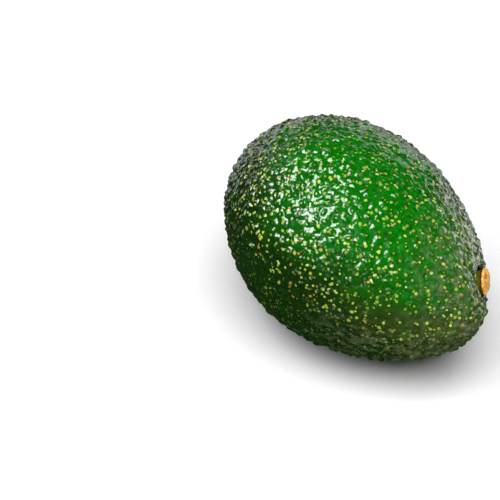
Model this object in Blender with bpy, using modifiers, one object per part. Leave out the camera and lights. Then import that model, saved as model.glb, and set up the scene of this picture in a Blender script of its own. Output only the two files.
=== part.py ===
"""A whole avocado, lying on its side as it comes to rest.

The fruit is one solid. Its stem button is a second, small solid, seated in the hollow that the
stem grew from. Both are laid out in the growing frame, with +X along the fruit from its blossom
end to its narrow end, and an empty then lays them down. Units are metres, and +Z is up.
"""

import math

import bmesh
import bpy
import numpy as np
from mathutils import Vector

# The fruit's body
FRUIT_LENGTH = 0.1027
FRUIT_WIDTH = 0.070
FRUIT_HEIGHT = 0.0708
BLOSSOM_FULLNESS = 0.090  # share by which the blossom half is wider and the narrow half slimmer
END_TAPER = 0.145  # share that both ends lose beyond a plain ellipsoid
SIDE_BEND = 0.0040  # how far the narrow end leans towards +Y
DROOP = 0.0022  # how far the narrow end leans towards -Z
BLOSSOM_BEND_SHARE = 0.35  # the blossom end's share of both leans

# Where the stem grew, as angles on the unit ball that the body is stretched from
STEM_OFF_NOSE = math.radians(30.9)
STEM_ROLL = math.radians(30.1)

# The skin around the stem: a wide shallow dimple, then a round hollow with a flat floor
DIMPLE_RADIUS = 0.0125
DIMPLE_DEPTH = 0.0015
HOLLOW_RADIUS = 0.00465
HOLLOW_DEPTH = 0.0026
HOLLOW_WALL_SLOPE = 0.00035  # how much narrower the floor is than the mouth
HOLLOW_LIP = 0.0007  # width of the rounded edge outside the mouth
LIP_DROP = 0.0003  # how far that edge is rounded down at the mouth

# The stem button, which stands a little proud of the skin
BUTTON_SIDE_GAP = 0.0004
SEAT_GAP = 0.0003
BUTTON_PROUD = 0.0016
BUTTON_CAP_HEIGHT = 0.0010
BUTTON_NECK_INSET = 0.0006
BUTTON_EDGE_ROUND = 0.0005
BUTTON_CROWN = 0.0003

# The flat spot that the fruit rests on
REST_FLAT_DEPTH = 0.0005

# How finely the surfaces are divided
MERIDIANS = 64
HOLLOW_RINGS = 3
DIMPLE_RINGS = 6
BODY_RINGS = 30
BUTTON_STEPS = 40
EDGE_STEPS = 4

MERGE = 0.00001
SHARP_ANGLE = math.radians(40)
SKIN_COLOUR = (0.020, 0.105, 0.018, 1.0)
CORK_COLOUR = (0.520, 0.270, 0.085, 1.0)


def clear_scene():
    for obj in list(bpy.data.objects):
        bpy.data.objects.remove(obj)


def new_collection(name):
    collection = bpy.data.collections.new(name)
    bpy.context.scene.collection.children.link(collection)
    return collection


def new_material(name, colour, roughness):
    material = bpy.data.materials.new(name)
    material.use_nodes = True
    shader = material.node_tree.nodes["Principled BSDF"]
    shader.inputs["Base Color"].default_value = colour
    shader.inputs["Roughness"].default_value = roughness
    shader.inputs["Metallic"].default_value = 0.0
    return material


def new_object(name, mesh, collection, material=None, parent=None):
    obj = bpy.data.objects.new(name, mesh)
    collection.objects.link(obj)
    obj.parent = parent
    if material:
        mesh.materials.append(material)
    return obj


def body_point(direction):
    """Where a direction of the unit ball lands on the plain body, with no dimple or hollow."""
    along = direction.x
    girth = 1 - BLOSSOM_FULLNESS * along - END_TAPER * along**2
    lean = along**2 if along > 0 else BLOSSOM_BEND_SHARE * along**2
    return Vector(
        (
            FRUIT_LENGTH / 2 * along,
            FRUIT_WIDTH / 2 * girth * direction.y + SIDE_BEND * lean,
            FRUIT_HEIGHT / 2 * girth * direction.z - DROOP * lean,
        )
    )


class StemSite:
    """Where the stem grew: its direction on the unit ball, its point on the body and its axis."""

    def __init__(self):
        off, roll = STEM_OFF_NOSE, STEM_ROLL
        self.direction = Vector(
            (math.cos(off), math.sin(off) * math.cos(roll), math.sin(off) * math.sin(roll))
        )
        self.first = self.direction.cross(Vector((0, 0, 1))).normalized()
        self.second = self.direction.cross(self.first)
        self.point = body_point(self.direction)
        step = 0.001
        along_first = body_point((self.direction + step * self.first).normalized()) - self.point
        along_second = body_point((self.direction + step * self.second).normalized()) - self.point
        self.axis = along_first.cross(along_second).normalized()

    def direction_at(self, angle, bearing):
        """The unit direction that lies this angle away from the stem's, on this bearing around it."""
        sideways = math.cos(bearing) * self.first + math.sin(bearing) * self.second
        return math.cos(angle) * self.direction + math.sin(angle) * sideways

    def distance(self, point):
        """How far a point is from the stem's axis."""
        return (point - self.point).cross(self.axis).length

    def angle_for(self, distance, bearing):
        """The angle whose body point is this far from the stem's axis, found by halving."""
        low, high = 0.0, math.pi / 3
        for _ in range(30):
            middle = (low + high) / 2
            if self.distance(body_point(self.direction_at(middle, bearing))) < distance:
                low = middle
            else:
                high = middle
        return low


def stem_ring_distances():
    """Each stem ring's distance from the stem's axis, from the hollow's floor to the dimple's edge."""
    floor_radius = HOLLOW_RADIUS - HOLLOW_WALL_SLOPE
    rings = [floor_radius * i / HOLLOW_RINGS for i in range(1, HOLLOW_RINGS + 1)]
    rings += [HOLLOW_RADIUS, HOLLOW_RADIUS + HOLLOW_LIP]
    inner = HOLLOW_RADIUS + HOLLOW_LIP
    rings += [inner + (DIMPLE_RADIUS - inner) * i / DIMPLE_RINGS for i in range(1, DIMPLE_RINGS + 1)]
    return rings


def pressed_in(site, point):
    """A body point near the stem, moved along the stem's axis onto the dimple or into the hollow."""
    distance = site.distance(point)
    height = (point - site.point).dot(site.axis)
    on_far_side = height < -DIMPLE_RADIUS
    if distance > DIMPLE_RADIUS or on_far_side:
        return point
    drop = DIMPLE_DEPTH * (1 + math.cos(math.pi * distance / DIMPLE_RADIUS)) / 2
    if distance < HOLLOW_RADIUS - HOLLOW_WALL_SLOPE / 2:
        drop = height + DIMPLE_DEPTH + HOLLOW_DEPTH
    elif distance < HOLLOW_RADIUS + HOLLOW_LIP / 2:
        drop += LIP_DROP
    return point - drop * site.axis


def fruit_mesh(site):
    """The fruit's surface: a ball with a pole at the stem, and each ring moved onto the body."""
    near = stem_ring_distances()
    bm = bmesh.new()
    bmesh.ops.create_uvsphere(
        bm, u_segments=MERIDIANS, v_segments=len(near) + BODY_RINGS, radius=1
    )
    ring_step = math.pi / (len(near) + BODY_RINGS)
    for vert in bm.verts:
        ring = round(math.acos(max(-1, min(1, vert.co.z))) / ring_step)
        bearing = math.atan2(vert.co.y, vert.co.x)
        if ring == 0:
            angle = 0
        elif ring <= len(near):
            angle = site.angle_for(near[ring - 1], bearing)
        else:
            edge = site.angle_for(near[-1], bearing)
            angle = edge + (math.pi - edge) * (ring - len(near)) / BODY_RINGS
        vert.co = pressed_in(site, body_point(site.direction_at(angle, bearing)))
    bmesh.ops.recalc_face_normals(bm, faces=bm.faces)
    mesh = bpy.data.meshes.new("fruit")
    bm.to_mesh(mesh)
    bm.free()
    mesh.shade_smooth()
    mesh.set_sharp_from_angle(angle=SHARP_ANGLE)
    return mesh


def button_mesh():
    """The button's half outline, from the middle of its crown to the middle of its foot."""
    cap_radius = HOLLOW_RADIUS - BUTTON_SIDE_GAP
    neck_radius = cap_radius - BUTTON_NECK_INSET
    top = BUTTON_PROUD - DIMPLE_DEPTH
    foot = SEAT_GAP - DIMPLE_DEPTH - HOLLOW_DEPTH
    cap_foot = top - BUTTON_CAP_HEIGHT
    outline = [(0, top + BUTTON_CROWN)]
    for i in range(EDGE_STEPS + 1):
        turn = math.pi / 2 * i / EDGE_STEPS
        outline.append(
            (
                cap_radius - BUTTON_EDGE_ROUND * (1 - math.sin(turn)),
                top - BUTTON_EDGE_ROUND * (1 - math.cos(turn)),
            )
        )
    outline += [(cap_radius, cap_foot), (neck_radius, cap_foot - BUTTON_NECK_INSET)]
    outline += [(neck_radius, foot), (0, foot)]
    mesh = bpy.data.meshes.new("stem_button")
    mesh.from_pydata(
        [(x, 0, z) for x, z in outline], [(i, i + 1) for i in range(len(outline) - 1)], []
    )
    return mesh


def turn_about_z(obj, steps):
    screw = obj.modifiers.new("turned", "SCREW")
    screw.axis = "Z"
    screw.steps = steps
    screw.render_steps = steps
    screw.use_merge_vertices = True
    screw.merge_threshold = MERGE
    screw.use_smooth_shade = True


def mesh_arrays(mesh):
    """The mesh's points and triangles as arrays."""
    mesh.calc_loop_triangles()
    points = np.array([vert.co for vert in mesh.vertices])
    triangles = np.array([tuple(triangle.vertices) for triangle in mesh.loop_triangles])
    return points, triangles


def volume_centre(points, triangles):
    """The centre of mass of the closed, even solid that these triangles bound."""
    a, b, c = (points[triangles[:, corner]] for corner in range(3))
    volumes = np.einsum("ij,ij->i", a, np.cross(b, c)) / 6
    return (volumes[:, None] * (a + b + c) / 4).sum(axis=0) / volumes.sum()


def turned_about_y(points, tilt):
    """Points turned about +Y, which lowers the +X end for a positive tilt."""
    cosine, sine = math.cos(tilt), math.sin(tilt)
    x, y, z = points.T
    return np.stack([cosine * x + sine * z, y, cosine * z - sine * x], axis=1)


def resting_tilt(mesh):
    """The tilt about Y at which the fruit's centre of mass is lowest, so that it lies still."""
    points, triangles = mesh_arrays(mesh)
    from_centre = points - volume_centre(points, triangles)
    tilts = np.radians(np.arange(-20, 20, 0.1))
    return float(min(tilts, key=lambda tilt: -turned_about_y(from_centre, tilt)[:, 2].min()))


def lay_down(growing, mesh):
    """Lays the growing frame down, with the flat spot at z = 0 and the fruit over the origin."""
    tilt = resting_tilt(mesh)
    points = turned_about_y(mesh_arrays(mesh)[0], tilt)
    low, high = points.min(axis=0), points.max(axis=0)
    growing.rotation_euler = (0, tilt, 0)
    growing.location = (
        -(low[0] + high[0]) / 2,
        -(low[1] + high[1]) / 2,
        -low[2] - REST_FLAT_DEPTH,
    )


def cut_flat_spot(fruit, cutters):
    """Takes off what would be below the ground, which leaves the flat spot."""
    bpy.ops.mesh.primitive_cube_add(size=2 * FRUIT_LENGTH, location=(0, 0, -FRUIT_LENGTH))
    ground = bpy.context.active_object
    ground.name = "ground_cutter"
    for collection in list(ground.users_collection):
        collection.objects.unlink(ground)
    cutters.objects.link(ground)
    ground.hide_render = True
    ground.display_type = "WIRE"
    cut = fruit.modifiers.new("flat_spot", "BOOLEAN")
    cut.operation = "DIFFERENCE"
    cut.solver = "EXACT"
    cut.object = ground


def main():
    clear_scene()
    parts = new_collection("avocado")
    cutters = new_collection("cutters")
    skin = new_material("avocado_skin", SKIN_COLOUR, 0.38)
    cork = new_material("stem_cork", CORK_COLOUR, 0.9)

    growing = new_object("growing_frame", None, parts)
    site = StemSite()
    fruit = new_object("fruit", fruit_mesh(site), parts, skin, growing)
    button = new_object("stem_button", button_mesh(), parts, cork, growing)
    turn_about_z(button, BUTTON_STEPS)
    button.location = site.point
    button.rotation_mode = "QUATERNION"
    button.rotation_quaternion = site.axis.to_track_quat("Z", "Y")

    lay_down(growing, fruit.data)
    cut_flat_spot(fruit, cutters)


main()
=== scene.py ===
"""The looks of a whole avocado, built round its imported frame.

The frame holds two plain solids, the fruit and its stem button. This script gives each of them a
finished piece in its place: a skin with a pebbled relief, pale lenticels and a waxy gloss, and a
dry corky button in the hollow of the stem. Every length is in metres unless its name says otherwise.
"""

import logging
import math
from dataclasses import astuple, dataclass, field
from enum import Enum
from typing import Union

import bmesh
import bpy
import numpy as np
from bpy.types import Material, Mesh, Node, Object
from mathutils import Matrix, Vector, kdtree, noise


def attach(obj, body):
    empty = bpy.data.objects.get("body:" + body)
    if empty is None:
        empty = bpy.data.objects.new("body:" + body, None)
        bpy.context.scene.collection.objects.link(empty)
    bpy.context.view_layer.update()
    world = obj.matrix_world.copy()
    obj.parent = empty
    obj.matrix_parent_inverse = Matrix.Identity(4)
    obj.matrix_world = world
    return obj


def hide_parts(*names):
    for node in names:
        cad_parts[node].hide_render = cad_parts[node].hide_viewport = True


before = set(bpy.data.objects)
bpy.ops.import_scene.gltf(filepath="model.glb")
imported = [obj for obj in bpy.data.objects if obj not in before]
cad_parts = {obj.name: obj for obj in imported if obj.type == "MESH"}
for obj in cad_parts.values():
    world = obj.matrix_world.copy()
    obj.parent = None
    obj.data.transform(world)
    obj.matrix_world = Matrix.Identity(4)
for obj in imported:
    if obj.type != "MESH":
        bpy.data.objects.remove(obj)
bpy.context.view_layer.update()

LOG = logging.getLogger("avocado")
BODY = "root"
MILLIMETRE = 0.001
TINY = 1e-6
NO_AREA = 1e-12

Array = np.ndarray
Colour = tuple[float, float, float]
Socket = bpy.types.NodeSocket
Input = Union[Socket, float, tuple[float, ...]]


class Domain(Enum):
    """The part of a mesh that an attribute has one value for."""

    POINT = "POINT"
    CORNER = "CORNER"
    FACE = "FACE"


def smooth_step(low: float, high: float, values: Array) -> Array:
    """Rises smoothly from 0 at low to 1 at high.

    Args:
        low: The value where the rise starts.
        high: The value where it ends.
        values: Any array of numbers.

    Returns:
        An array of the same shape, from 0 to 1.
    """
    share = np.clip((values - low) / (high - low), 0, 1)
    return share * share * (3 - 2 * share)


def unit(vectors: Array) -> Array:
    """Returns each row of vectors scaled to a length of 1."""
    return vectors / np.linalg.norm(vectors, axis=-1, keepdims=True)


def read(items: bpy.types.bpy_prop_collection, key: str, width: int, kind: type = float) -> Array:
    """Reads one value from each of a mesh's items.

    Args:
        items: The vertices, normals, loops or triangles.
        key: The value's name.
        width: How many numbers the value has.
        kind: What the numbers are.

    Returns:
        The numbers, a row for each item.
    """
    flat = np.empty(len(items) * width, dtype=kind)
    items.foreach_get(key, flat)
    return flat.reshape(-1, width)


def move_points(mesh: Mesh, points: Array) -> None:
    """Puts the mesh's vertices at the given positions, one row each."""
    mesh.vertices.foreach_set("co", points.ravel())
    mesh.update()


def add_attribute(mesh: Mesh, name: str, domain: Domain, values: Array) -> None:
    """Stores numbers or vectors on a mesh, for its material to read.

    Args:
        mesh: The mesh that keeps them.
        name: The attribute's name.
        domain: What each value belongs to.
        values: One number or one row of three for each element of the domain.
    """
    if values.ndim == 1:
        attribute = mesh.attributes.new(name, "FLOAT", domain.value)
        attribute.data.foreach_set("value", values)
    else:
        attribute = mesh.attributes.new(name, "FLOAT_VECTOR", domain.value)
        attribute.data.foreach_set("vector", values.ravel())


def mesh_from(bm: bmesh.types.BMesh, name: str) -> Mesh:
    """Turns a bmesh into a mesh, and frees it.

    Args:
        bm: The bmesh.
        name: The mesh's name.

    Returns:
        The mesh.
    """
    mesh = bpy.data.meshes.new(name)
    bm.to_mesh(mesh)
    bm.free()
    return mesh


def placed(name: str, data: bpy.types.ID) -> Object:
    """Puts a mesh, a light or a camera in the scene.

    Args:
        name: The name of its object.
        data: The mesh, light or camera.

    Returns:
        The object.
    """
    made = bpy.data.objects.new(name, data)
    bpy.context.scene.collection.objects.link(made)
    return made


def back_from(azimuth: float, elevation: float) -> Array:
    """Finds the direction from the fruit to where it is seen or lit from.

    Args:
        azimuth: The bearing, in degrees, from 0 at -Y through 90 at +X.
        elevation: The height over the level, in degrees.

    Returns:
        The unit direction.
    """
    a, e = math.radians(azimuth), math.radians(elevation)
    return np.array([math.sin(a) * math.cos(e), -math.cos(a) * math.cos(e), math.sin(e)])


@dataclass
class FruitShape:
    """The smooth shape of the fruit, as grown: +X runs from the blossom end to the narrow end.

    The body is a unit ball, stretched. Its sizes are those of the frame's solid.
    """

    length: float = 0.1027
    width: float = 0.070
    height: float = 0.0708
    blossom_fullness: float = 0.090
    end_taper: float = 0.145
    side_bend: float = 0.0040
    droop: float = 0.0022
    blossom_bend_share: float = 0.35
    stem_off_nose: float = math.radians(30.9)
    stem_roll: float = math.radians(30.1)
    dimple_radius: float = 0.0125
    dimple_depth: float = 0.0015
    hollow_radius: float = 0.00465
    hollow_depth: float = 0.0026
    hollow_wall_slope: float = 0.00035
    hollow_lip: float = 0.0007
    lip_drop: float = 0.0003
    axis_step: float = 0.001
    widest_angle: float = math.pi / 3
    halvings: int = 26
    stem: Array = field(init=False)
    stem_sides: tuple[Array, Array] = field(init=False)
    stem_point: Array = field(init=False)
    stem_axis: Array = field(init=False)

    def __post_init__(self) -> None:
        """Finds the stem's direction on the ball, its point on the body and its axis."""
        off, roll = self.stem_off_nose, self.stem_roll
        self.stem = np.array(
            [math.cos(off), math.sin(off) * math.cos(roll), math.sin(off) * math.sin(roll)]
        )
        first = unit(np.cross(self.stem, [0.0, 0.0, 1.0]))
        self.stem_sides = (first, np.cross(self.stem, first))
        self.stem_point = self.body(self.stem)
        beside = [self.body(unit(self.stem + self.axis_step * side)) for side in self.stem_sides]
        self.stem_axis = unit(np.cross(beside[0] - self.stem_point, beside[1] - self.stem_point))

    def body(self, directions: Array) -> Array:
        """Stretches directions of the unit ball onto the plain body.

        Args:
            directions: Unit vectors, one to a row.

        Returns:
            The body's points, one to a row.
        """
        along, across, up = np.moveaxis(directions, -1, 0)
        girth = 1 - self.blossom_fullness * along - self.end_taper * along**2
        lean = np.where(along > 0, along**2, self.blossom_bend_share * along**2)
        return np.stack(
            [
                self.length / 2 * along,
                self.width / 2 * girth * across + self.side_bend * lean,
                self.height / 2 * girth * up - self.droop * lean,
            ],
            axis=-1,
        )

    def toward(self, angles: Array, bearings: Array) -> Array:
        """Finds directions round the stem's.

        Args:
            angles: How far each is from the stem's direction.
            bearings: On which side of it each is.

        Returns:
            The unit directions, one to a row.
        """
        first, second = self.stem_sides
        sideways = np.cos(bearings)[:, None] * first + np.sin(bearings)[:, None] * second
        return np.cos(angles)[:, None] * self.stem + np.sin(angles)[:, None] * sideways

    def from_stem_axis(self, points: Array) -> Array:
        """Returns how far each point is from the stem's axis."""
        return np.linalg.norm(np.cross(points - self.stem_point, self.stem_axis), axis=-1)

    def angles_for(self, distances: Array, bearings: Array) -> Array:
        """Finds the angles whose body points are at given distances from the stem's axis, by halving.

        Args:
            distances: The distances.
            bearings: The bearing of each point round the stem.

        Returns:
            The angle of each from the stem's direction.
        """
        low = np.zeros_like(distances)
        high = np.full_like(distances, self.widest_angle)
        for _ in range(self.halvings):
            middle = (low + high) / 2
            inside = self.from_stem_axis(self.body(self.toward(middle, bearings))) < distances
            low = np.where(inside, middle, low)
            high = np.where(inside, high, middle)
        return low

    def pressed_in(self, points: Array) -> Array:
        """Moves body points near the stem along its axis, onto the dimple or into the hollow.

        Args:
            points: Points of the plain body, one to a row.

        Returns:
            The same points, with those of the dimple and the hollow moved in.
        """
        distance = self.from_stem_axis(points)
        height = (points - self.stem_point) @ self.stem_axis
        near = (distance < self.dimple_radius) & (height > -self.dimple_radius)
        dimple = self.dimple_depth * (1 + np.cos(math.pi * distance / self.dimple_radius)) / 2
        lip_edge = self.hollow_radius + self.hollow_lip
        lip = self.lip_drop * (1 - smooth_step(self.hollow_radius, lip_edge, distance))
        floor = height + self.dimple_depth + self.hollow_depth
        wall = smooth_step(self.hollow_radius - self.hollow_wall_slope, self.hollow_radius, distance)
        drop = (dimple + lip) * wall + floor * (1 - wall)
        return points - np.where(near, drop, 0)[:, None] * self.stem_axis


@dataclass
class RestingPlace:
    """Where the fruit comes to rest: turned about +Y until its centre of mass is lowest, then set down."""

    shape: FruitShape
    flat_depth: float = 0.0005
    widest_tilt: float = 20.0
    tilt_step: float = 0.1
    tilt: float = 0.0
    shift: Array = field(default_factory=lambda: np.zeros(3))

    def settle(self, points: Array, triangles: Array) -> None:
        """Finds the tilt at which a closed surface rests, and the shift onto the frame's solid.

        Args:
            points: The surface's points, in the growing frame.
            triangles: Its triangles, as rows of three point numbers.
        """
        a, b, c = (points[triangles[:, corner]] for corner in range(3))
        volumes = np.einsum("ij,ij->i", a, np.cross(b, c))
        centre = (volumes[:, None] * (a + b + c) / 4).sum(axis=0) / volumes.sum()
        tilts = np.radians(np.arange(-self.widest_tilt, self.widest_tilt, self.tilt_step))
        heights = [-self.turned(points - centre, tilt)[:, 2].min() for tilt in tilts]
        self.tilt = float(tilts[int(np.argmin(heights))])
        laid = self.turned(points, self.tilt)
        low, high = laid.min(axis=0), laid.max(axis=0)
        self.shift = np.array(
            [-(low[0] + high[0]) / 2, -(low[1] + high[1]) / 2, -low[2] - self.flat_depth]
        )

    @staticmethod
    def turned(vectors: Array, tilt: float) -> Array:
        """Turns vectors about +Y.

        Args:
            vectors: The vectors, one to a row.
            tilt: The angle. A positive one lowers the +X end.

        Returns:
            The turned vectors.
        """
        cosine, sine = math.cos(tilt), math.sin(tilt)
        x, y, z = np.moveaxis(vectors, -1, 0)
        return np.stack([cosine * x + sine * z, y, cosine * z - sine * x], axis=-1)

    def place(self, points: Array) -> Array:
        """Returns points of the growing frame where they lie at rest."""
        return self.turned(points, self.tilt) + self.shift

    @property
    def stem_point(self) -> Array:
        """The stem's point at rest, on the plain body, over the hollow's middle."""
        return self.place(self.shape.stem_point)

    @property
    def blossom_point(self) -> Array:
        """The end that the flower was at, at rest."""
        return self.place(self.shape.body(np.array([-1.0, 0.0, 0.0])))

    @property
    def stem_axis(self) -> Array:
        """The stem's axis at rest."""
        return self.turned(self.shape.stem_axis, self.tilt)


@dataclass(frozen=True)
class Step:
    """A step in a value: from bottom where the value is start, to top where it is end."""

    start: float
    end: float
    bottom: float = 0.0
    top: float = 1.0


@dataclass(frozen=True)
class Grain:
    """A noise pattern: how wide its features are, how much detail it has and how rough it is."""

    size: float
    detail: float = 2.0
    roughness: float = 0.5


class NodeBench:
    """A material's node tree, with short ways to add the nodes that the finishes are made of."""

    def __init__(self, name: str) -> None:
        """Makes the material, with its own Principled shader."""
        self.material = bpy.data.materials.new(name)
        self.material.use_nodes = True

    def feed(self, socket: Socket, value: Input) -> None:
        """Links a socket to an output, or sets its value.

        Args:
            socket: The input that gets it.
            value: The output to link, or the number, vector or colour to set.
        """
        if isinstance(value, Socket):
            self.material.node_tree.links.new(value, socket)
        else:
            socket.default_value = value

    def finish(self, inputs: dict[str, Input]) -> Material:
        """Feeds the Principled shader.

        Args:
            inputs: What its sockets get, by their names.

        Returns:
            The finished material.
        """
        shader = self.material.node_tree.nodes["Principled BSDF"]
        for name, value in inputs.items():
            self.feed(shader.inputs[name], value)
        return self.material

    def add(self, kind: str, settings: dict[str, str] | None = None, **inputs: Input) -> Node:
        """Adds a node.

        Args:
            kind: The node's type, without the ShaderNode in front.
            settings: The node's own properties, such as its operation.
            inputs: Its sockets, by name, or by number as in i0.

        Returns:
            The new node.
        """
        node = self.material.node_tree.nodes.new("ShaderNode" + kind)
        for key, value in (settings or {}).items():
            setattr(node, key, value)
        for key, value in inputs.items():
            numbered = key[0] == "i" and key[1:].isdigit()
            self.feed(node.inputs[int(key[1:]) if numbered else key], value)
        return node

    def math(self, operation: str, first: Input, second: Input, third: Input = 0.0) -> Socket:
        """Returns the result of a Math node."""
        return self.add("Math", {"operation": operation}, i0=first, i1=second, i2=third).outputs[0]

    def product(self, first: Input, second: Input) -> Socket:
        """Returns two numbers multiplied."""
        return self.math("MULTIPLY", first, second)

    def vector(self, operation: str, first: Input, second: Input = (0, 0, 0)) -> Socket:
        """Returns the result of a Vector Math node, which is a number for a length or a distance."""
        node = self.add("VectorMath", {"operation": operation}, i0=first, i1=second)
        return node.outputs["Value" if operation in ("LENGTH", "DISTANCE") else "Vector"]

    def rise(self, value: Input, step: Step, past: Socket | None = None) -> Socket:
        """Takes a value through a smooth step.

        Args:
            value: The value.
            step: Where the step starts and ends, and what it goes from and to.
            past: An output that the step's start and end are moved on by.

        Returns:
            The stepped value.
        """
        start, end = step.start, step.end
        if past is not None:
            start, end = self.math("ADD", past, start), self.math("ADD", past, end)
        inputs = {"Value": value, "i1": start, "i2": end, "i3": step.bottom, "i4": step.top}
        return self.add("MapRange", {"interpolation_type": "SMOOTHSTEP"}, **inputs).outputs[0]

    def noise(self, where: Input, grain: Grain) -> Socket:
        """Returns noise with a mean near a half."""
        inputs = {"Scale": 1 / grain.size, "Detail": grain.detail, "Roughness": grain.roughness}
        return self.add("TexNoise", Vector=where, **inputs).outputs[0]

    def cells(self, where: Input, size: float, feature: str = "F1") -> Node:
        """Returns a Voronoi node whose cells are about size across."""
        return self.add("TexVoronoi", {"feature": feature}, Vector=where, Scale=1 / size)

    def blend(self, factor: Input, first: Input, second: Input) -> Socket:
        """Blends two colours.

        Args:
            factor: The second one's share, from 0 to 1.
            first: A colour, as an output or as red, green and blue.
            second: The other colour.

        Returns:
            The blend.
        """
        node = self.add("Mix", {"data_type": "RGBA"}, i0=factor)
        for socket, colour in ((node.inputs[6], first), (node.inputs[7], second)):
            self.feed(socket, (*colour, 1.0) if isinstance(colour, tuple) else colour)
        return node.outputs[2]

    def attribute(self, name: str, output: str = "Vector") -> Socket:
        """Returns one of the mesh's attributes, as a vector or as a number (Fac)."""
        return self.add("Attribute", {"attribute_name": name}).outputs[output]

    def split(self, vector: Socket) -> tuple[Socket, ...]:
        """Returns a vector's three parts."""
        return tuple(self.add("SeparateXYZ", Vector=vector).outputs)

    def place(self) -> Socket:
        """Returns the Object coordinates."""
        return self.add("TexCoord").outputs["Object"]

    def bump(self, height: Socket, distance: float, normal: Socket | None = None) -> Socket:
        """Bends the normal.

        Args:
            height: The height that bends it, from 0 to 1.
            distance: How far its full range stands proud.
            normal: The normal to bend, where it isn't the surface's own.

        Returns:
            The bent normal.
        """
        node = self.add("Bump", Height=height, Distance=distance, Strength=1.0)
        if normal is not None:
            self.feed(node.inputs["Normal"], normal)
        return node.outputs[0]


class SkinBench(NodeBench):
    """A bench for the skin, with what its material reads at each point.

    A pebble has three chances: size, tint and kind. Facing and nose say how far the surface faces
    the vivid, mostly upward side and the narrow end, and away is its distance from the stem in
    millimetres.
    Facing also sets the painted shade that darkens the underside and the left.
    """

    def __init__(self, finish: "SkinFinish") -> None:
        """Makes the material and adds the nodes that read the mesh."""
        super().__init__(finish.name)
        self.here = self.place()
        self.chances = self.attribute("chance")
        self.size, self.tint, self.kind = self.split(self.chances)
        self.blotch = self.math("SUBTRACT", self.noise(self.here, finish.blotch_grain), 0.5)
        facing, self.nose, self.away = self.split(self.attribute("zones"))
        self.facing = self.shifted(facing, finish.blotch_pull)

    def shifted(self, value: Socket, pull: float) -> Socket:
        """Returns a zone's value, shifted by the blotches so that the zone has an uneven edge."""
        return self.math("MULTIPLY_ADD", self.blotch, pull, value)


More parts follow.
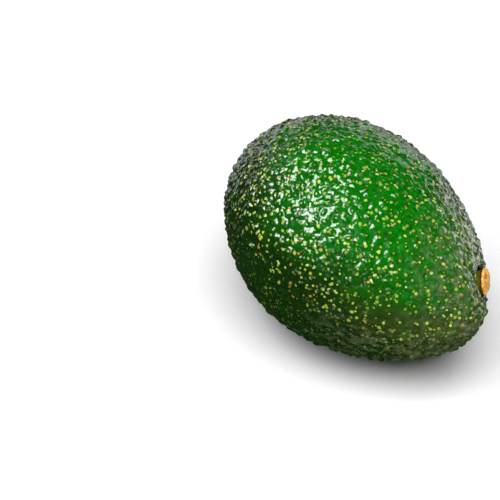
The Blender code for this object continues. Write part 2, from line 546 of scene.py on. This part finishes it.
@dataclass(frozen=True)
class SkinFinish:
    """The avocado's skin: waxy and green, vivid on the upper side and darker below and to the left, which
    is partly its own tone and partly painted shade, with pale specks.

    It is olive and folded under the narrow end, with painted highlight on the folds and painted shade
    between them, pale round the stem and brown at the blossom end's scar.
    """

    name: str = "avocado_skin"
    vivid: Colour = (0.001, 0.205, 0.0003)
    # dark green of the underside and the left: partly the skin's own tone, partly painted shade
    deep_and_shade: Colour = (0.006, 0.032, 0.0015)
    olive: Colour = (0.056, 0.108, 0.012)
    # pale wax bloom round the stem, also used as painted highlight on the folds' ridges
    bloom_and_highlight: Colour = (0.175, 0.205, 0.105)
    # dark green for mottles and halos, and painted shade in the grooves between pebbles and folds
    dark_tone_and_shade: Colour = (0.001, 0.016, 0.001)
    pale_speck: Colour = (0.560, 0.680, 0.090)
    green_speck: Colour = (0.170, 0.350, 0.015)
    rust_speck: Colour = (0.500, 0.250, 0.060)
    hollow_green: Colour = (0.050, 0.060, 0.004)
    scar_brown: Colour = (0.090, 0.042, 0.014)
    roughness: float = 0.55
    gloss: float = 0.52
    gloss_roughness: float = 0.15

    blotch_grain: Grain = Grain(0.013, 4.0, 0.6)
    blotch_pull: float = 0.55
    # where the vivid green starts on the upward-facing side; below it, painted shade mixed with the darker
    # tone
    cheek_and_lit_top: Step = Step(0.48, 1.00)
    olive_pull: float = 0.6
    olive_end: Step = Step(0.36, 0.90, top=0.9)
    olive_side: Step = Step(0.85, 0.50)
    frost_pull: float = 16.0
    frost: Step = Step(35.0, 11.0, top=0.85)
    frost_grain: Grain = Grain(0.0021, 3.0, 0.6)
    frost_patches: Step = Step(0.42, 0.58, bottom=0.15)

    fold_stretch: tuple[float, float, float] = (0.22, 1.0, 1.0)
    fold_grain: Grain = Grain(0.0020)
    fold: Step = Step(0.44, 0.58)
    fold_side: Step = Step(0.50, 0.20)
    fold_end: Step = Step(0.20, 0.60)
    # painted shade in the gaps between folds, and painted highlight on their ridges
    fold_gap_shade: float = 0.45
    fold_highlight_tint: float = 0.42
    fold_height: float = 0.00045

    mottle_grain: Grain = Grain(0.0018, 3.0, 0.65)
    mottle: Step = Step(0.40, 0.60)
    mottle_strength: float = 0.66
    pebble_strength: float = 0.15
    mottle_green: float = 0.6
    # painted shade: darker where the relief is low between pebbles
    groove_shade: Step = Step(0.3, 0.0, top=0.25)

    speck_wander: float = 1.2
    speck_grain: Grain = Grain(0.0007)
    speck_raggedness: float = 0.60
    speck_radius: float = 0.55
    speck_growth: float = 0.30
    speck_edge: Step = Step(0.14, -0.10)
    speck_halo: Step = Step(0.60, 0.15, top=0.60)
    speck_strength: Step = Step(0.85, 0.35, bottom=0.15)
    speck_side: Step = Step(0.15, 0.58, bottom=0.28)
    speck_height: float = 0.00005
    rust: Step = Step(0.78, 0.84, top=0.85)
    dot_spacing: float = 0.0017
    dot_radius: float = 0.09
    dot_growth: float = 0.24
    dot_edge: Step = Step(0.04, -0.04, top=0.8)

    hollow: Step = Step(6.2, 4.8)
    scar_grain: Grain = Grain(0.0012, 3.0)
    scar_raggedness: float = 0.0016
    scar: Step = Step(0.0030, 0.0022)
    wrinkle_grain: Grain = Grain(0.0025, 1.8, 0.42)
    wrinkle_height: float = 0.00095

    def zones(self, bench: SkinBench) -> Socket:
        """Lays the large zones of colour.

        Args:
            bench: The skin's bench.

        Returns:
            Green, vivid on the upper side and darker below and to the left, partly with painted shade; the
            olive underside and the pale patches round the stem.
        """
        # vivid green facing up, darker green facing down and to the left: partly own tone, partly painted
        # shade
        colour = bench.blend(bench.rise(bench.facing, self.cheek_and_lit_top), self.deep_and_shade, self.vivid)
        olive = bench.rise(bench.shifted(bench.nose, self.olive_pull), self.olive_end)
        olive = bench.product(olive, bench.rise(bench.facing, self.olive_side))
        colour = bench.blend(olive, colour, self.olive)
        frost = bench.rise(bench.shifted(bench.away, self.frost_pull), self.frost)
        patches = bench.rise(bench.noise(bench.here, self.frost_grain), self.frost_patches)
        return bench.blend(bench.product(frost, patches), colour, self.bloom_and_highlight)

    def folds(self, bench: SkinBench) -> tuple[Socket, Socket]:
        """Finds the long folds under the narrow end.

        Args:
            bench: The skin's bench.

        Returns:
            How far a point is on a fold, and how far it is in a gap between two.
        """
        stretched = bench.vector("MULTIPLY", bench.here, self.fold_stretch)
        folds = bench.rise(bench.noise(stretched, self.fold_grain), self.fold)
        end = bench.rise(bench.nose, self.fold_end)
        under = bench.product(bench.rise(bench.facing, self.fold_side), end)
        folds = bench.product(folds, under)
        return folds, bench.math("SUBTRACT", under, folds)

    def mottled_and_shaded(self, bench: SkinBench, colour: Socket) -> Socket:
        """Darkens a colour in small mottles, pebble by pebble, and with painted shade where the pebbles
        meet.

        Args:
            bench: The skin's bench.
            colour: The colour.

        Returns:
            The mottled colour, with the painted shade between the pebbles.
        """
        mottle = bench.rise(bench.noise(bench.here, self.mottle_grain), self.mottle)
        shade = bench.product(bench.tint, self.pebble_strength)
        shade = bench.math("MULTIPLY_ADD", mottle, self.mottle_strength, shade)
        colour = bench.blend(shade, colour, bench.blend(self.mottle_green, self.dark_tone_and_shade, colour))
        # painted shade where the relief is low, between the pebbles
        groove_shade = bench.rise(bench.attribute("relief", "Fac"), self.groove_shade)
        return bench.blend(groove_shade, colour, self.dark_tone_and_shade)

    def specks(self, bench: SkinBench) -> tuple[Socket, Socket]:
        """Finds the specks: one on each pebble, and fine dots all over.

        Args:
            bench: The skin's bench.

        Returns:
            How far a point is on a speck, and how far it is in the dark halo of one.
        """
        wander = bench.vector("SUBTRACT", bench.chances, (0.5, 0.5, 0.5))
        wander = bench.vector("MULTIPLY", wander, (self.speck_wander,) * 3)
        offset = bench.vector("LENGTH", bench.vector("ADD", bench.attribute("lenticel"), wander))
        ragged = bench.noise(bench.here, self.speck_grain)
        ragged = bench.math("MULTIPLY_ADD", ragged, self.speck_raggedness, offset)
        radius = bench.math("MULTIPLY_ADD", bench.size, self.speck_growth, self.speck_radius)
        halo = bench.rise(ragged, self.speck_halo, past=radius)
        fewer = bench.rise(bench.facing, self.speck_side)
        strength = bench.product(bench.rise(bench.tint, self.speck_strength), fewer)
        speck = bench.product(bench.rise(ragged, self.speck_edge, past=radius), strength)
        cells = bench.cells(bench.here, self.dot_spacing)
        chance = bench.add("SeparateColor", Color=cells.outputs["Color"]).outputs[0]
        radius = bench.math("MULTIPLY_ADD", chance, self.dot_growth, self.dot_radius)
        dot = bench.rise(cells.outputs["Distance"], self.dot_edge, past=radius)
        return bench.math("MAXIMUM", speck, bench.product(dot, fewer)), halo

    def speck_colour(self, bench: SkinBench) -> Socket:
        """Returns the specks' colour: green to pale by their size, and rust on a few pebbles."""
        colour = bench.blend(bench.size, self.green_speck, self.pale_speck)
        return bench.blend(bench.rise(bench.kind, self.rust), colour, self.rust_speck)

    def scarred(self, bench: SkinBench, blossom: Array) -> Socket:
        """Finds the small scar at the blossom end.

        Args:
            bench: The skin's bench.
            blossom: The blossom end's place.

        Returns:
            How far a point is on the scar.
        """
        distance = bench.vector("DISTANCE", bench.here, tuple(blossom))
        ragged = bench.noise(bench.here, self.scar_grain)
        distance = bench.math("MULTIPLY_ADD", ragged, self.scar_raggedness, distance)
        return bench.rise(distance, self.scar)

    def material(self, rest: RestingPlace) -> Material:
        """Builds the skin's material.

        Args:
            rest: Where the fruit lies.

        Returns:
            The finished material.
        """
        bench = SkinBench(self)
        folds, shaded_gaps = self.folds(bench)
        specks, halos = self.specks(bench)
        scar = self.scarred(bench, rest.blossom_point)
        skin = self.zones(bench)
        # painted shade in the gaps between the folds
        skin = bench.blend(bench.product(shaded_gaps, self.fold_gap_shade), skin, self.dark_tone_and_shade)
        # painted highlight on the folds' ridges
        skin = bench.blend(bench.product(folds, self.fold_highlight_tint), skin, self.bloom_and_highlight)
        skin = bench.blend(halos, self.mottled_and_shaded(bench, skin), self.dark_tone_and_shade)
        skin = bench.blend(specks, skin, self.speck_colour(bench))
        skin = bench.blend(bench.rise(bench.away, self.hollow), skin, self.hollow_green)
        skin = bench.blend(scar, skin, self.scar_brown)
        normal = bench.bump(bench.noise(bench.here, self.wrinkle_grain), self.wrinkle_height)
        normal = bench.bump(folds, self.fold_height, normal)
        normal = bench.bump(bench.math("SUBTRACT", specks, scar), self.speck_height, normal)
        inputs = {"Base Color": skin, "Roughness": self.roughness, "Specular IOR Level": 0.0}
        inputs |= {"Coat Weight": self.gloss, "Coat Roughness": self.gloss_roughness}
        return bench.finish(inputs | {"Normal": normal, "Coat Normal": normal})


@dataclass(frozen=True)
class CorkFinish:
    """The dry stem button: orange-tan cork, cracked, brown round its rim and olive on its neck. The brown
    band on the cap's side is partly the cork's own edge and partly painted shade.
    """

    name: str = "stem_cork"
    tan: Colour = (0.620, 0.235, 0.020)
    pale: Colour = (0.950, 0.510, 0.130)
    brown: Colour = (0.075, 0.022, 0.003)
    neck_green: Colour = (0.130, 0.140, 0.006)
    roughness: float = 0.75
    grain_roughness: float = 0.2
    specular: float = 0.1
    grain: Grain = Grain(0.0018, 5.0, 0.65)
    pale_grain: Step = Step(0.36, 0.60)
    crack_spacing: float = 0.0022
    crack_width: Step = Step(0.07, 0.0)
    crack_grain: Step = Step(0.55, 0.40)
    crack_tint: float = 0.7
    crack_depth: float = 0.5
    raggedness: float = 0.6
    # depths of the brown band on the cap's side: partly its own colour, partly painted shade under the
    # face's edge
    rim_shade_depth: Step = Step(0.72, 0.92)
    neck_depth: Step = Step(1.25, 1.50)
    relief_height: float = 0.0003

    def material(self) -> Material:
        """Returns the button's material, whose rim and neck go by the mesh's depth attribute."""
        bench = NodeBench(self.name)
        here = bench.place()
        grain = bench.noise(here, self.grain)
        cork = bench.blend(bench.rise(grain, self.pale_grain), self.tan, self.pale)
        edges = bench.cells(here, self.crack_spacing, "DISTANCE_TO_EDGE").outputs["Distance"]
        dry = bench.rise(grain, self.crack_grain)
        crack = bench.product(bench.rise(edges, self.crack_width), dry)
        cork = bench.blend(bench.product(crack, self.crack_tint), cork, self.brown)
        depth = bench.attribute("depth", "Fac")
        depth = bench.math("MULTIPLY_ADD", grain, self.raggedness, depth)
        # brown band on the cap's side: partly the cork's own edge, partly painted shade under the face
        cork = bench.blend(bench.rise(depth, self.rim_shade_depth), cork, self.brown)
        cork = bench.blend(bench.rise(depth, self.neck_depth), cork, self.neck_green)
        rough = bench.math("MULTIPLY_ADD", grain, self.grain_roughness, self.roughness)
        relief = bench.math("SUBTRACT", grain, bench.product(crack, self.crack_depth))
        normal = bench.bump(relief, self.relief_height)
        inputs = {"Base Color": cork, "Roughness": rough, "Specular IOR Level": self.specular}
        return bench.finish(inputs | {"Normal": normal})


@dataclass(frozen=True)
class FloorFinish:
    """The plain pale floor, with the faintest unevenness."""

    name: str = "pale_floor"
    colour: Colour = (0.92, 0.92, 0.92)
    darkest: float = 0.985
    roughness: float = 0.9
    grain: Grain = Grain(0.2)
    patches: Step = Step(0.3, 0.7)

    def material(self) -> Material:
        """Returns the floor's material."""
        bench = NodeBench(self.name)
        shade = bench.rise(bench.noise(bench.place(), self.grain), self.patches)
        darker = tuple(self.darkest * channel for channel in self.colour)
        colour = bench.blend(shade, self.colour, darker)
        return bench.finish({"Base Color": colour, "Roughness": self.roughness})


@dataclass
class Skin:
    """The fruit's skin: a ball of square grids, stretched to the fruit, with pebbles raised on it.

    Round the stem the grid's square rings are made round, so that the hollow's wall follows them.
    """

    shape: FruitShape
    rest: RestingPlace
    finish: SkinFinish = SkinFinish()
    cells: int = 128
    floor_rings: int = 9
    wall_rings: int = 12
    lip_rings: int = 15
    stem_rings: int = 30
    stem_side_reach: float = math.radians(49)
    map_margin: float = 0.985
    seed: int = 11

    pebble_area: float = 7.6e-6
    relaxings: int = 1
    relief_height: float = 0.00060
    relief_middle: float = 0.5
    groove_width: float = 2.2 * MILLIMETRE
    dome_fall: float = 0.3
    dome_least: float = 0.2
    lowest_pebble: float = 0.55
    pebble_variation: float = 0.75
    warp: float = 0.0007
    warp_size: float = 0.0030
    swell: float = 0.00045
    swell_size: float = 0.0036
    calm_width: float = 0.0025
    # the direction the vivid green faces, mostly up; away from it the skin is darker, partly painted shade
    cheek_and_lit_top: tuple[float, float, float] = (0.40, -0.18, 0.90)

    def ball(self) -> tuple[Mesh, Array]:
        """Makes the closed grid that the skin is drawn on.

        Returns:
            The mesh of a cube with a square grid on each side, and its vertices.
        """
        bm = bmesh.new()
        bmesh.ops.create_cube(bm, size=2)
        bmesh.ops.subdivide_edges(bm, edges=bm.edges[:], cuts=self.cells - 1, use_grid_fill=True)
        mesh = mesh_from(bm, "skin")
        return mesh, read(mesh.vertices, "co", 3)

    def ring_distances(self, rings: Array) -> Array:
        """Spaces the rings round the stem, out to the dimple's edge.

        Args:
            rings: The rings' numbers, counted from the stem.

        Returns:
            How far each is from the stem's axis.
        """
        shape = self.shape
        marks = {
            0: 0.0,
            self.floor_rings: shape.hollow_radius - shape.hollow_wall_slope,
            self.wall_rings: shape.hollow_radius,
            self.lip_rings: shape.hollow_radius + shape.hollow_lip,
            self.stem_rings: shape.dimple_radius,
        }
        return np.interp(rings, list(marks), list(marks.values()))

    @staticmethod
    def round_bearings(x: Array, y: Array) -> Array:
        """Spaces the points of a square ring evenly round a circle.

        Args:
            x: Where the points lie across the square.
            y: Where they lie along it.

        Returns:
            The bearing of each.
        """
        eighth = math.pi / 4
        safe_x, safe_y = np.where(x == 0, 1, x), np.where(y == 0, 1, y)
        return np.where(
            abs(x) >= abs(y),
            eighth * y / safe_x + np.where(x < 0, math.pi, 0),
            math.pi / 2 - eighth * x / safe_y + np.where(y < 0, math.pi, 0),
        )

    def directions(self, cube: Array) -> Array:
        """Turns the cube's grid into directions, with round rings about the stem.

        Args:
            cube: The grid's vertices on the cube, whose +Z side faces the stem.

        Returns:
            The unit direction of each vertex, as grown.
        """
        found = unit(np.tan(math.pi / 4 * cube)) @ np.stack([*self.shape.stem_sides, self.shape.stem])
        stem_side = np.flatnonzero(cube[:, 2] > 1 - TINY)
        x, y = cube[stem_side, 0], cube[stem_side, 1]
        bearing = self.round_bearings(x, y)
        last_ring = self.cells / 2
        ring = np.maximum(abs(x), abs(y)) * last_ring
        near = self.ring_distances(np.minimum(ring, self.stem_rings))
        inner = self.shape.angles_for(near, bearing)
        share = np.clip((ring - self.stem_rings) / (last_ring - self.stem_rings), 0, 1)
        circle = self.shape.toward(inner + share * (self.stem_side_reach - inner), bearing)
        mix = smooth_step(0, 1, share)[:, None]
        found[stem_side] = unit((1 - mix) * circle + mix * found[stem_side])
        return found

    def bake_map(self, mesh: Mesh, cube: Array) -> None:
        """Lays the cube's six sides out flat, three by two, as the skin's UV map, named OFBake.

        Args:
            mesh: The skin's mesh.
            cube: Its vertices on the cube.
        """
        at = cube[read(mesh.loops, "vertex_index", 1, np.int32).reshape(-1, 4)]
        middle = at.mean(axis=1)
        axis = abs(middle).argmax(axis=1)
        positive = np.take_along_axis(middle, axis[:, None], axis=1)[:, 0] > 0
        flat = np.empty((len(at), 4, 2))
        for side in range(3):
            chosen = axis == side
            others = [other for other in range(3) if other != side]
            flat[chosen] = (self.map_margin * at[chosen][:, :, others] + 1) / 2
        flat[:, :, 0] = (flat[:, :, 0] + axis[:, None]) / 3
        flat[:, :, 1] = (flat[:, :, 1] + positive[:, None]) / 2
        layer = mesh.uv_layers.new(name="OFBake")
        layer.uv.foreach_set("vector", flat.ravel())

    def pebble_centres(self, points: Array, areas: Array) -> Array:
        """Spreads the pebbles evenly, but not regularly, over the skin.

        Args:
            points: The skin's points.
            areas: The area that each of them stands for.

        Returns:
            The middle of each pebble.
        """
        generator = np.random.default_rng(self.seed)
        count = int(areas.sum() / self.pebble_area)
        chosen = generator.choice(len(points), count, replace=False, p=areas / areas.sum())
        centres = points[chosen]
        for _ in range(self.relaxings):
            owner = self.nearest_two(centres, points)[0][:, 0]
            weight = np.maximum(np.bincount(owner, areas, count), NO_AREA)
            sums = [np.bincount(owner, areas * points[:, axis], count) for axis in range(3)]
            centres = np.stack(sums, axis=1) / weight[:, None]
        return centres

    @staticmethod
    def nearest_two(centres: Array, points: Array) -> tuple[Array, Array]:
        """Finds the two centres nearest to each point.

        Args:
            centres: The places to choose from.
            points: The places to look from.

        Returns:
            The centres' numbers and their distances, nearest first, a row for each point.
        """
        tree = kdtree.KDTree(len(centres))
        for number, centre in enumerate(centres):
            tree.insert(centre, number)
        tree.balance()
        found = [tree.find_n(point, 2) for point in points]
        numbers = np.array([(first[1], second[1]) for first, second in found])
        distances = np.array([(first[2], second[2]) for first, second in found])
        return numbers, distances

    def build(self) -> Object:
        """Builds the skin and dresses it.

        Returns:
            The finished piece, where the frame's fruit lies.
        """
        mesh, cube = self.ball()
        grown = self.shape.pressed_in(self.shape.body(self.directions(cube)))
        move_points(mesh, grown)
        if mesh.polygons[0].normal @ mesh.polygons[0].center < 0:
            mesh.flip_normals()
        mesh.calc_loop_triangles()
        triangles = read(mesh.loop_triangles, "vertices", 3, np.int32)
        self.rest.settle(grown, triangles)
        laid = self.rest.place(grown)
        move_points(mesh, laid)
        a, b, c = (laid[triangles[:, corner]] for corner in range(3))
        area = np.linalg.norm(np.cross(b - a, c - a), axis=1) / 2
        areas = np.bincount(triangles.ravel(), np.repeat(area / 3, 3), len(laid))
        self.raise_pebbles(mesh, laid, areas)
        self.bake_map(mesh, cube)
        mesh.shade_smooth()
        mesh.materials.append(self.finish.material(self.rest))
        return placed("skin", mesh)

    def calm(self, laid: Array) -> Array:
        """Keeps the relief out of the stem's hollow.

        Args:
            laid: The skin's smooth points at rest.

        Returns:
            Each point's share of the relief, from 0 in the hollow to 1 round it.
        """
        from_stem = laid - self.rest.stem_point
        distance = np.linalg.norm(np.cross(from_stem, self.rest.stem_axis), axis=1)
        edge = self.shape.hollow_radius
        by_stem = from_stem @ self.rest.stem_axis > -self.shape.dimple_radius
        return np.where(by_stem, smooth_step(edge, edge + self.calm_width, distance), 1)

    def raise_pebbles(self, mesh: Mesh, laid: Array, areas: Array) -> None:
        """Raises the pebbles on the skin, and stores what its material needs to know of them.

        Args:
            mesh: The skin's mesh.
            laid: Its smooth points at rest.
            areas: The area that each point stands for.
        """
        normals = read(mesh.vertex_normals, "vector", 3)
        noise.seed_set(self.seed)
        shifts = [noise.noise_vector(Vector(point) / self.warp_size) for point in laid]
        warped = laid + self.warp * np.array(shifts)
        centres = self.pebble_centres(warped, areas)
        numbers, distances = self.nearest_two(centres, warped)
        generator = np.random.default_rng(self.seed + 1)
        chances = generator.random((len(centres), 3))
        inside = smooth_step(0, self.groove_width, distances[:, 1] - distances[:, 0])
        dome = 1 - self.dome_fall * (distances[:, 0] / MILLIMETRE) ** 2
        relief = inside * np.clip(dome, self.dome_least, 1)
        tall = self.lowest_pebble + self.pebble_variation * generator.random(len(centres))
        pebbles = self.relief_height * (relief * tall[numbers[:, 0]] - self.relief_middle)
        swells = np.array([noise.noise(Vector(point) / self.swell_size) for point in laid])
        rise = self.calm(laid) * (pebbles + self.swell * swells)
        moved = laid + rise[:, None] * normals
        moved[:, 2] = np.maximum(moved[:, 2], 0)
        move_points(mesh, moved)
        add_attribute(mesh, "relief", Domain.POINT, relief)
        away = np.linalg.norm(laid - self.rest.stem_point, axis=1) / MILLIMETRE
        # zones: facing, which drives the painted shade of the underside, then nose and distance from the
        # stem
        zones = np.stack([normals @ unit(np.array(self.cheek_and_lit_top)), normals[:, 0], away], axis=1)
        add_attribute(mesh, "zones", Domain.POINT, zones)
        around = warped[read(mesh.loops, "vertex_index", 1, np.int32).reshape(-1, 4)]
        owner = self.nearest_two(centres, around.mean(axis=1))[0][:, 0]
        offsets = (around - centres[owner][:, None]) / MILLIMETRE
        add_attribute(mesh, "lenticel", Domain.CORNER, offsets.reshape(-1, 3))
        add_attribute(mesh, "chance", Domain.FACE, chances[owner])


@dataclass
class StemButton:
    """The dried end of the stem: a ragged disc of cork on a short neck, seated in the hollow."""

    shape: FruitShape
    rest: RestingPlace
    finish: CorkFinish = CorkFinish()
    side_gap: float = 0.0004
    seat_gap: float = 0.0003
    proud: float = 0.0016
    cap_height: float = 0.0010
    neck_inset: float = 0.0006
    neck_shoulder: float = 0.0002
    neck_drop: float = 0.0005
    edge_round: float = 0.0005
    crown: float = 0.0003
    face_steps: int = 22
    edge_steps: int = 6
    steps: int = 128

    seed: float = 7.9
    nibble_count: float = 1.6
    nibble_depth: float = 0.20
    nibble_offset: float = 0.30
    nibble_most: float = 1.2
    nibble_from: float = 0.4
    lump_size: float = 0.0011
    lump_height: float = 0.00022
    face_depth: float = 0.0012
    face_edge: float = 0.0004
    pith_radius: float = 0.0011
    pith_depth: float = 0.00025
    groove_radius: float = 0.0024
    groove_width: float = 0.0004
    groove_depth: float = 0.00012
    lean: float = 0.00055
    lean_bearing: float = math.radians(30)

    @property
    def cap(self) -> float:
        """The radius of the button's face."""
        return self.shape.hollow_radius - self.side_gap

    @property
    def top(self) -> float:
        """The height of its face's edge over the stem's point on the plain body."""
        return self.proud - self.shape.dimple_depth

    def outline(self) -> list[tuple[float, float]]:
        """Draws half of the button's section.

        Returns:
            Radii and heights, from the face's middle to the foot's.
        """
        neck = self.cap - self.neck_inset
        foot = self.seat_gap - self.shape.dimple_depth - self.shape.hollow_depth
        flat = self.cap - self.edge_round
        shares = [i / self.face_steps for i in range(self.face_steps + 1)]
        face = [(flat * share, self.top + self.crown * (1 - share**2)) for share in shares]
        turns = [math.pi / 2 * i / self.edge_steps for i in range(1, self.edge_steps + 1)]
        bend = self.edge_round
        rim = [(flat + bend * math.sin(a), self.top - bend * (1 - math.cos(a))) for a in turns]
        under = self.top - self.cap_height
        shoulder = (self.cap - self.neck_inset / 2, under - self.neck_shoulder)
        neck_heights = np.linspace(under - self.neck_drop, foot, self.edge_steps + 1)
        side = [(neck, float(height)) for height in neck_heights]
        return face + rim + [(self.cap, under), shoulder] + side + [(neck / 2, foot), (0.0, foot)]

    def build(self) -> Object:
        """Builds the button and dresses it.

        Returns:
            The finished piece, where the frame's button sits.
        """
        bm = bmesh.new()
        corners = [bm.verts.new((radius, 0, height)) for radius, height in self.outline()]
        edges = [bm.edges.new(pair) for pair in zip(corners, corners[1:])]
        turn = {"cent": (0, 0, 0), "axis": (0, 0, 1), "angle": 2 * math.pi}
        bmesh.ops.spin(bm, geom=corners + edges, steps=self.steps, use_merge=True, **turn)
        bmesh.ops.remove_doubles(bm, verts=bm.verts[:], dist=TINY)
        bmesh.ops.recalc_face_normals(bm, faces=bm.faces[:])
        mesh = mesh_from(bm, "button")
        plain = read(mesh.vertices, "co", 3)
        add_attribute(mesh, "depth", Domain.POINT, (self.top - plain[:, 2]) / MILLIMETRE)
        turn = Vector(self.rest.stem_axis).to_track_quat("Z", "Y").to_matrix()
        move_points(mesh, self.roughened(plain) @ np.array(turn).T + self.rest.stem_point)
        mesh.shade_smooth()
        mesh.materials.append(self.finish.material())
        return placed("button", mesh)

    def roughened(self, plain: Array) -> Array:
        """Breaks the button's rim, roughens its face and leans it.

        Args:
            plain: The turned button's points, with +Z along the stem's axis.

        Returns:
            The points, with a ragged rim and a lumpy, dented, leaning face.
        """
        radius = np.hypot(plain[:, 0], plain[:, 1])
        bearing = np.arctan2(plain[:, 1], plain[:, 0])
        rim = self.nibble_count * np.stack([np.cos(bearing), np.sin(bearing)], axis=1)
        nibbles = [noise.fractal(Vector((x, y, self.seed)), 1.0, 2.0, 3) for x, y in rim]
        nibble = np.clip(np.array(nibbles) + self.nibble_offset, 0, self.nibble_most)
        draw = 1 - self.nibble_depth * nibble * smooth_step(self.nibble_from, 1.0, radius / self.cap)
        lift = Vector((0, 0, self.seed))
        lumps = [noise.fractal(Vector(point) / self.lump_size + lift, 0.8, 2.1, 4) for point in plain]
        on_face = smooth_step(-self.face_depth, 0.0, plain[:, 2] - self.top + self.face_edge)
        pith = self.pith_depth * np.exp(-((radius / self.pith_radius) ** 2))
        from_groove = (radius - self.groove_radius) / self.groove_width
        dents = pith + self.groove_depth * np.exp(-(from_groove**2))
        lean = self.lean * np.cos(bearing - self.lean_bearing) * radius / self.cap
        rough = plain.copy()
        rough[:, :2] *= draw[:, None]
        rough[:, 2] += on_face * (self.lump_height * np.array(lumps) - dents + lean)
        return rough


class Use(Enum):
    """What a softbox is for: to light the fruit, or to show in its gloss."""

    LIGHT = "light"
    GLINT = "glint"


@dataclass(frozen=True)
class Softbox:
    """A square light, aimed at the fruit from an azimuth and an elevation in degrees."""

    name: str
    use: Use
    azimuth: float
    elevation: float
    distance: float
    side: float
    watts: float

    def hang(self, target: Array) -> None:
        """Hangs the light.

        Args:
            target: The point that it is aimed at.
        """
        light = bpy.data.lights.new(self.name, "AREA")
        light.shape = "SQUARE"
        light.size = self.side
        light.energy = self.watts
        lamp = placed(self.name, light)
        back = back_from(self.azimuth, self.elevation)
        lamp.location = target + self.distance * back
        lamp.rotation_euler = Vector(back).to_track_quat("Z", "Y").to_euler()
        lamp.visible_camera = False
        lamp.visible_diffuse = self.use is Use.LIGHT
        lamp.visible_glossy = self.use is Use.GLINT


@dataclass
class Studio:
    """The pale floor, the surroundings, the softboxes and the camera."""

    rest: RestingPlace
    azimuth: float = 49.6
    elevation: float = 39.0
    distance: float = 0.480
    lens: float = 107.9
    aside: tuple[float, float] = (0.0328, 0.0034)
    sky_colour: tuple[float, float, float, float] = (0.93, 0.96, 1.0, 1.0)
    ground_band: Step = Step(-0.25, -0.05, 0.04, 0.09)
    sky_band: Step = Step(0.15, 0.60, 1.0, 0.28)
    floor_side: float = 6.0
    floor_cells: int = 4
    floor: FloorFinish = FloorFinish()
    softboxes: tuple[Softbox, ...] = (
        Softbox("top_light", Use.LIGHT, 65.0, 68.0, 3.0, 2.5, 108.0),
        Softbox("fill_light", Use.LIGHT, -15.0, 50.0, 3.0, 2.5, 41.0),
        Softbox("window_glint", Use.GLINT, -27.0, 53.0, 0.9, 0.50, 30.0),
        Softbox("front_glint", Use.GLINT, 30.0, 30.0, 0.9, 0.22, 1.5),
        Softbox("rim_glint", Use.GLINT, 176.0, -6.0, 1.1, 0.6, 7.0),
        Softbox("back_glint", Use.GLINT, -150.0, 8.0, 1.1, 0.8, 5.0),
        Softbox("left_glint", Use.GLINT, -104.0, -4.0, 1.1, 0.8, 4.5),
    )

    def lay_floor(self) -> None:
        """Lays the floor that the fruit rests on, which doesn't show in its gloss."""
        bm = bmesh.new()
        cells = self.floor_cells
        bmesh.ops.create_grid(bm, x_segments=cells, y_segments=cells, size=self.floor_side / 2)
        mesh = mesh_from(bm, "floor")
        mesh.materials.append(self.floor.material())
        floor = placed("floor", mesh)
        floor.visible_glossy = False

    def set_sky(self) -> None:
        """Sets the surroundings: dark below, brightest over the horizon and dimmer overhead."""
        world = bpy.data.worlds.new("studio")
        world.use_nodes = True
        nodes, links = world.node_tree.nodes, world.node_tree.links
        height = nodes.new("ShaderNodeSeparateXYZ")
        links.new(nodes.new("ShaderNodeTexCoord").outputs["Generated"], height.inputs[0])
        glow = nodes.new("ShaderNodeMath")
        glow.operation = "MULTIPLY"
        for number, band in enumerate((self.ground_band, self.sky_band)):
            ramp = nodes.new("ShaderNodeMapRange")
            links.new(height.outputs["Z"], ramp.inputs["Value"])
            for socket, value in zip(list(ramp.inputs)[1:5], astuple(band)):
                socket.default_value = value
            links.new(ramp.outputs[0], glow.inputs[number])
        sky = nodes["Background"]
        sky.inputs["Color"].default_value = self.sky_colour
        links.new(glow.outputs[0], sky.inputs["Strength"])
        bpy.context.scene.world = world

    def set_camera(self, centre: Array) -> None:
        """Stands the camera where it sees the fruit right of the picture's middle.

        Args:
            centre: The fruit's middle.
        """
        back = back_from(self.azimuth, self.elevation)
        right = back_from(self.azimuth + 90, 0)
        up = np.cross(back, right)
        place = centre + self.distance * back
        aim = unit(place - centre + self.aside[0] * right + self.aside[1] * up)
        side = unit(np.cross(up, aim))
        turn = Matrix(np.stack([side, np.cross(aim, side), aim], axis=1))
        camera = bpy.data.cameras.new("camera")
        camera.lens = self.lens
        stand = placed("camera", camera)
        stand.matrix_world = Matrix.Translation(place) @ turn.to_4x4()
        bpy.context.scene.camera = stand

    def build(self) -> None:
        """Sets the studio up round the fruit."""
        centre = self.rest.place(np.zeros(3))
        self.lay_floor()
        self.set_sky()
        for softbox in self.softboxes:
            softbox.hang(centre)
        self.set_camera(centre)
        bpy.context.scene.view_settings.view_transform = "Standard"


def main() -> None:
    """Builds the avocado and its studio."""
    logging.basicConfig(level=logging.INFO, format="%(name)s %(message)s")
    shape = FruitShape()
    rest = RestingPlace(shape)
    skin = Skin(shape, rest).build()
    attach(skin, BODY)
    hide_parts("fruit")
    button = StemButton(shape, rest).build()
    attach(button, BODY)
    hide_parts("stem_button")
    for piece in (skin, button):
        LOG.info("%s: %d faces", piece.name, len(piece.data.polygons))
    Studio(rest).build()


if __name__ == "__main__":
    main()
